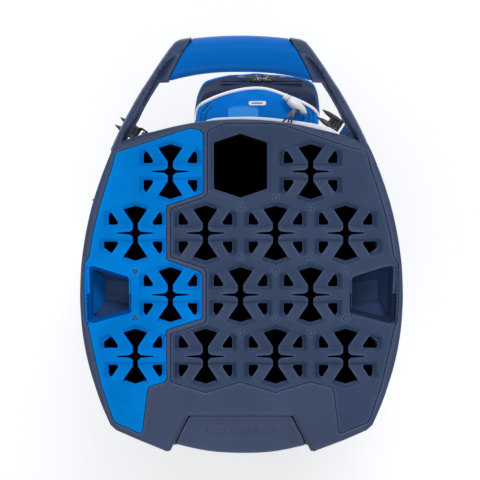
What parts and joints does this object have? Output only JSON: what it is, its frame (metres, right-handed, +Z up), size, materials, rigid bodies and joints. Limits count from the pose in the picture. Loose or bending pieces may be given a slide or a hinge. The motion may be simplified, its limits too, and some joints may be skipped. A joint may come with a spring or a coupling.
{
  "type": "golf cart bag",
  "caption": "Tall golf cart bag with a moulded lattice top, soft club grips, open putter well, padded carry handle, zipped pockets and shoulder strap.",
  "frame": {"origin": "on the floor under the middle of the base, on the sole's lower face", "axes": "+Z up along the bag, -Y towards the carry handle and front pockets, +Y towards the spine and shoulder strap, +X towards the blue grips"},
  "size_m": [0.3216, 0.407, 0.927],
  "materials": {
    "navy_moulded": "satin moulded, fine grain",
    "navy_grip_rubber": "soft satin rubber",
    "blue_grip_rubber": "soft satin rubber",
    "blue_handle_foam": "soft moulded skin",
    "navy_cup": "matt moulded",
    "blue_cup": "matt moulded",
    "steel_rivet": "dark painted rivets",
    "lining_fabric": "woven black lining",
    "tube_plastic": "matt black",
    "rod_aluminium": "bare drawn tube",
    "shell_fabric": "coated woven navy",
    "pocket_blue_fabric": "coated woven blue",
    "pocket_navy_fabric": "coated woven navy",
    "white_trim": "white bound trim",
    "base_moulded": "textured moulding",
    "sole_rubber": "matt black",
    "spine_foam": "mesh over foam",
    "zip_tape": "zip tape and coil",
    "zip_metal": "black painted",
    "pull_cord": "dipped cord",
    "tab_blue": "brushed loop tape",
    "lock_white": "white moulded",
    "spring_steel": "spring wire",
    "cord_dark": "braided cord",
    "clip_black": "black acetal",
    "web_blue": "woven webbing",
    "strap_web": "woven webbing",
    "ring_steel": "plated wire"
  },
  "bodies": {
    "bag": {"top_collar": "navy_moulded", "blue_club_insert": "blue_grip_rubber", "navy_club_insert": "navy_grip_rubber", "handle_grip": "blue_handle_foam", "rear_grip_panel": "navy_grip_rubber", "rear_panel_pins": "steel_rivet", "left_handhold_cup": "blue_cup", "right_handhold_cup": "navy_cup", "collar_rivets": "steel_rivet", "base_rivets": "steel_rivet", "putter_tube": "tube_plastic", "club_sleeves": "lining_fabric", "stay_rods": "rod_aluminium", "body_shell": "shell_fabric", "front_hem": "white_trim", "base_cup": "base_moulded", "base_sole": "sole_rubber", "spine_pad": "spine_foam", "upper_pocket": "pocket_blue_fabric", "lower_pocket": "pocket_navy_fabric", "left_pocket": "pocket_blue_fabric", "right_pocket": "pocket_navy_fabric", "upper_zip_track": "zip_tape", "lower_zip_track": "zip_tape", "left_zip_track": "zip_tape", "right_zip_track": "zip_tape", "pocket_piping": "white_trim", "glove_tab": "tab_blue", "cord_lock_body": "lock_white", "cord_lock_spring": "spring_steel", "draw_cord": "cord_dark", "left_clip_loop": "web_blue", "right_clip_loop": "web_blue", "towel_loop": "strap_web", "strap_anchors": "base_moulded"},
    "upper_slider_left": {"upper_slider_left": "zip_metal"},
    "upper_slider_right": {"upper_slider_right": "zip_metal"},
    "lower_slider": {"lower_slider": "zip_metal"},
    "left_slider": {"left_slider": "zip_metal"},
    "right_slider": {"right_slider": "zip_metal"},
    "upper_pull_left": {"upper_pull_left": "pull_cord"},
    "upper_pull_right": {"upper_pull_right": "pull_cord"},
    "lower_pull": {"lower_pull": "pull_cord"},
    "left_pull": {"left_pull": "pull_cord"},
    "right_pull": {"right_pull": "pull_cord"},
    "left_clip": {"left_clip": "clip_black"},
    "right_clip": {"right_clip": "clip_black"},
    "cord_lock_button": {"cord_lock_button": "lock_white"},
    "towel_ring": {"towel_ring": "ring_steel"},
    "shoulder_strap": {"shoulder_strap": "strap_web", "shoulder_pad": "spine_foam"},
    "strap_adjuster": {"strap_adjuster": "clip_black"}
  },
  "joints": [
    {"name": "upper_zip_left_travel", "type": "slide", "parent": "bag", "child": "upper_slider_left", "axis": [1, 0, 0], "range_m": [0, 0.026]},
    {"name": "upper_zip_right_travel", "type": "slide", "parent": "bag", "child": "upper_slider_right", "axis": [-1, 0, 0], "range_m": [0, 0.026]},
    {"name": "upper_pull_left_lift", "type": "hinge", "parent": "upper_slider_left", "child": "upper_pull_left", "pos_m": [-0.0156, -0.19888, 0.72318], "axis": [0, -0.3091, -0.951], "range_deg": [0, 150]},
    {"name": "upper_pull_right_lift", "type": "hinge", "parent": "upper_slider_right", "child": "upper_pull_right", "pos_m": [-0.0264, -0.19888, 0.72318], "axis": [0, 0.3091, 0.951], "range_deg": [0, 150]},
    {"name": "lower_zip_travel", "type": "slide", "parent": "bag", "child": "lower_slider", "axis": [-1, 0, 0], "range_m": [0, 0.08]},
    {"name": "lower_pull_lift", "type": "hinge", "parent": "lower_slider", "child": "lower_pull", "pos_m": [0.023, -0.20425, 0.52679], "axis": [0, 0.3285, 0.9445], "range_deg": [0, 150]},
    {"name": "left_zip_travel", "type": "slide", "parent": "bag", "child": "left_slider", "axis": [0, 0, -1], "range_m": [0, 0.38]},
    {"name": "left_pull_lift", "type": "hinge", "parent": "left_slider", "child": "left_pull", "pos_m": [0.15299, -0.08242, 0.55], "axis": [-0.5084, -0.8611, 0], "range_deg": [0, 150]},
    {"name": "right_zip_travel", "type": "slide", "parent": "bag", "child": "right_slider", "axis": [0, 0, -1], "range_m": [0, 0.38]},
    {"name": "right_pull_lift", "type": "hinge", "parent": "right_slider", "child": "right_pull", "pos_m": [-0.15299, -0.08242, 0.55], "axis": [-0.5084, 0.8611, 0], "range_deg": [0, 150]},
    {"name": "left_clip_swing", "type": "hinge", "parent": "bag", "child": "left_clip", "pos_m": [0.09194, -0.13658, 0.788], "axis": [0.568, 0.823, 0], "range_deg": [-60, 80]},
    {"name": "right_clip_swing", "type": "hinge", "parent": "bag", "child": "right_clip", "pos_m": [-0.09857, -0.1441, 0.788], "axis": [0.5621, 0.8271, 0], "range_deg": [-60, 80]},
    {"name": "cord_lock_press", "type": "slide", "parent": "bag", "child": "cord_lock_button", "axis": [-0.7776, 0.6287, 0], "range_m": [0, 0.0024], "stiffness_N_per_m": 400, "deforming": ["cord_lock_spring"]},
    {"name": "towel_ring_swing", "type": "hinge", "parent": "bag", "child": "towel_ring", "pos_m": [0.1434, 0.02, 0.7], "axis": [0, -1, 0], "range_deg": [0, 100]},
    {"name": "shoulder_strap_swing", "type": "hinge", "parent": "bag", "child": "shoulder_strap", "pos_m": [0, 0.1605, 0.375], "axis": [0, 0, 1], "range_deg": [-40, 40]},
    {"name": "strap_adjuster_travel", "type": "slide", "parent": "shoulder_strap", "child": "strap_adjuster", "axis": [0, -0.1305, 0.9914], "range_m": [-0.02, 0.02]}
  ]
}
